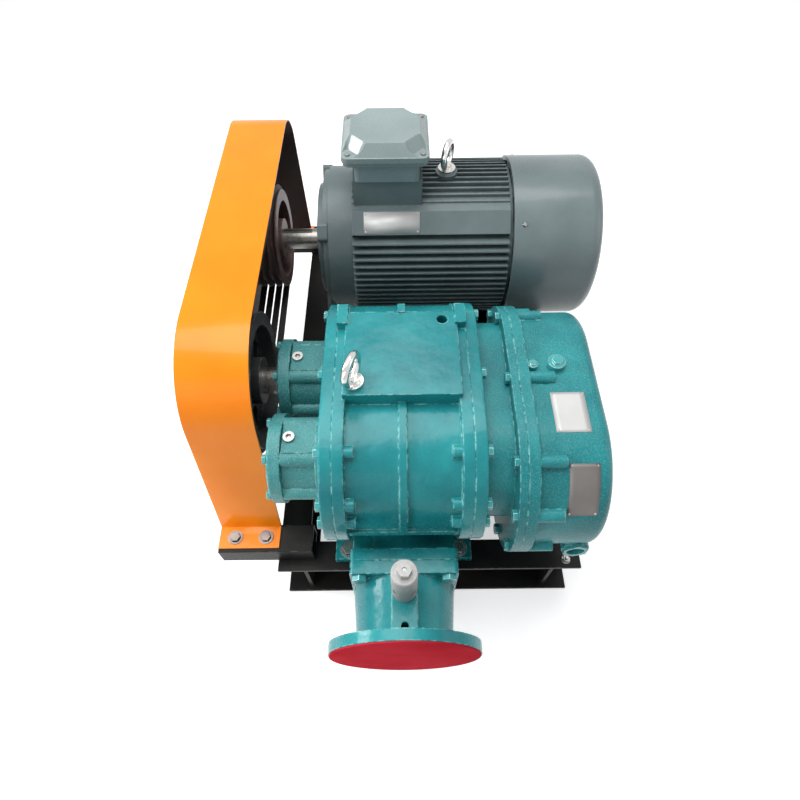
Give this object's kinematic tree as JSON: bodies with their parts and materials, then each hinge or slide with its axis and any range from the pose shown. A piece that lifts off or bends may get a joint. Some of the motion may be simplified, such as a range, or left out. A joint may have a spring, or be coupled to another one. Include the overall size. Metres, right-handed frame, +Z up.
{
  "type": "roots vacuum pump",
  "caption": "Belt-driven roots vacuum pump with its electric motor on a channel base: lobed rotors, timing gears, belt guard, suction neck with relief valve.",
  "frame": {"origin": "centre of the four anchor holes in the base, at floor level", "axes": "+X along the shafts from the belt drive to the gear case, +Y from the suction flange to the motor, +Z up from the floor"},
  "size_m": [0.839, 1.253, 0.74],
  "materials": {
    "base_black": "satin black paint",
    "pump_paint": "glossy teal enamel on castings",
    "zinc_screws": "zinc plated",
    "machined_steel": "turned and ground",
    "cast_rotor_iron": "machined",
    "valve_steel": "turned",
    "cover_red": "smooth",
    "sight_glass": "clear",
    "pump_pulley_paint": "machined grooves",
    "motor_pulley_paint": "primed",
    "belt_rubber": "matte",
    "guard_orange": "powder coat",
    "motor_paint": "grey-green enamel",
    "fan_plastic": "moulded",
    "core_steel": "varnished laminations"
  },
  "bodies": {
    "frame": {"base_left_rail": "base_black", "base_right_rail": "base_black", "base_front_beam": "base_black", "base_pump_beam": "base_black", "base_motor_front_beam": "base_black", "base_motor_rear_beam": "base_black", "base_rear_beam": "base_black", "motor_stand_left": "base_black", "motor_stand_right": "base_black", "guard_front_bracket": "base_black", "guard_rear_bracket": "base_black", "pump_casing": "pump_paint", "drive_end_plate": "pump_paint", "gear_end_plate": "pump_paint", "driven_bearing_housing": "pump_paint", "drive_bearing_housing": "pump_paint", "driven_bearing_cap": "pump_paint", "drive_bearing_cap": "pump_paint", "bearing_carrier": "pump_paint", "gear_cover": "pump_paint", "suction_neck": "pump_paint", "end_plate_bolts": "zinc_screws", "bearing_cap_bolts": "zinc_screws", "gear_cover_bolts": "zinc_screws", "neck_bolts": "zinc_screws", "housing_plugs": "zinc_screws", "guard_bolts": "zinc_screws", "pump_foot_bolts": "zinc_screws", "motor_foot_bolts": "zinc_screws", "terminal_lid_screws": "zinc_screws", "oil_filler_plugs": "zinc_screws", "lifting_eyebolts": "zinc_screws", "pump_bearings": "machined_steel", "motor_bearings": "machined_steel", "relief_spring": "machined_steel", "sight_glass_ring": "machined_steel", "relief_valve_body": "valve_steel", "relief_valve_cap": "valve_steel", "suction_port_cover": "cover_red", "sight_glass_lens": "sight_glass", "drive_belts": "belt_rubber", "belt_guard": "guard_orange", "motor_frame": "motor_paint", "motor_drive_shield": "motor_paint", "motor_fan_shield": "motor_paint", "motor_fan_cowl": "motor_paint", "terminal_box": "motor_paint", "terminal_box_lid": "motor_paint", "motor_stator": "core_steel"},
    "drive_rotor_set": {"drive_shaft": "machined_steel", "drive_rotor": "cast_rotor_iron", "drive_timing_gear": "machined_steel", "pump_pulley": "pump_pulley_paint"},
    "driven_rotor_set": {"driven_shaft": "machined_steel", "driven_rotor": "cast_rotor_iron", "driven_timing_gear": "machined_steel"},
    "motor_rotor_set": {"motor_rotor": "machined_steel", "motor_fan": "fan_plastic", "motor_pulley": "motor_pulley_paint"},
    "relief_poppet_set": {"relief_poppet": "machined_steel"}
  },
  "joints": [
    {"name": "drive_spin", "type": "hinge", "parent": "frame", "child": "drive_rotor_set", "pos_m": [-0.056, -0.223, 0.44], "axis": [1, 0, 0], "continuous": true},
    {"name": "driven_spin", "type": "hinge", "parent": "frame", "child": "driven_rotor_set", "pos_m": [-0.056, -0.403, 0.44], "axis": [1, 0, 0], "continuous": true},
    {"name": "motor_spin", "type": "hinge", "parent": "frame", "child": "motor_rotor_set", "pos_m": [0, 0.207, 0.44], "axis": [1, 0, 0], "continuous": true},
    {"name": "relief_lift", "type": "slide", "parent": "frame", "child": "relief_poppet_set", "axis": [0, 0, 1], "range_m": [0, 0.005], "stiffness_N_per_m": 2000, "springref_m": -0.004, "deforming": ["relief_spring"]}
  ],
  "couplings": [
    {"joint": "driven_spin", "follows": "drive_spin", "ratio": -1},
    {"joint": "motor_spin", "follows": "drive_spin", "ratio": 1.2174}
  ]
}
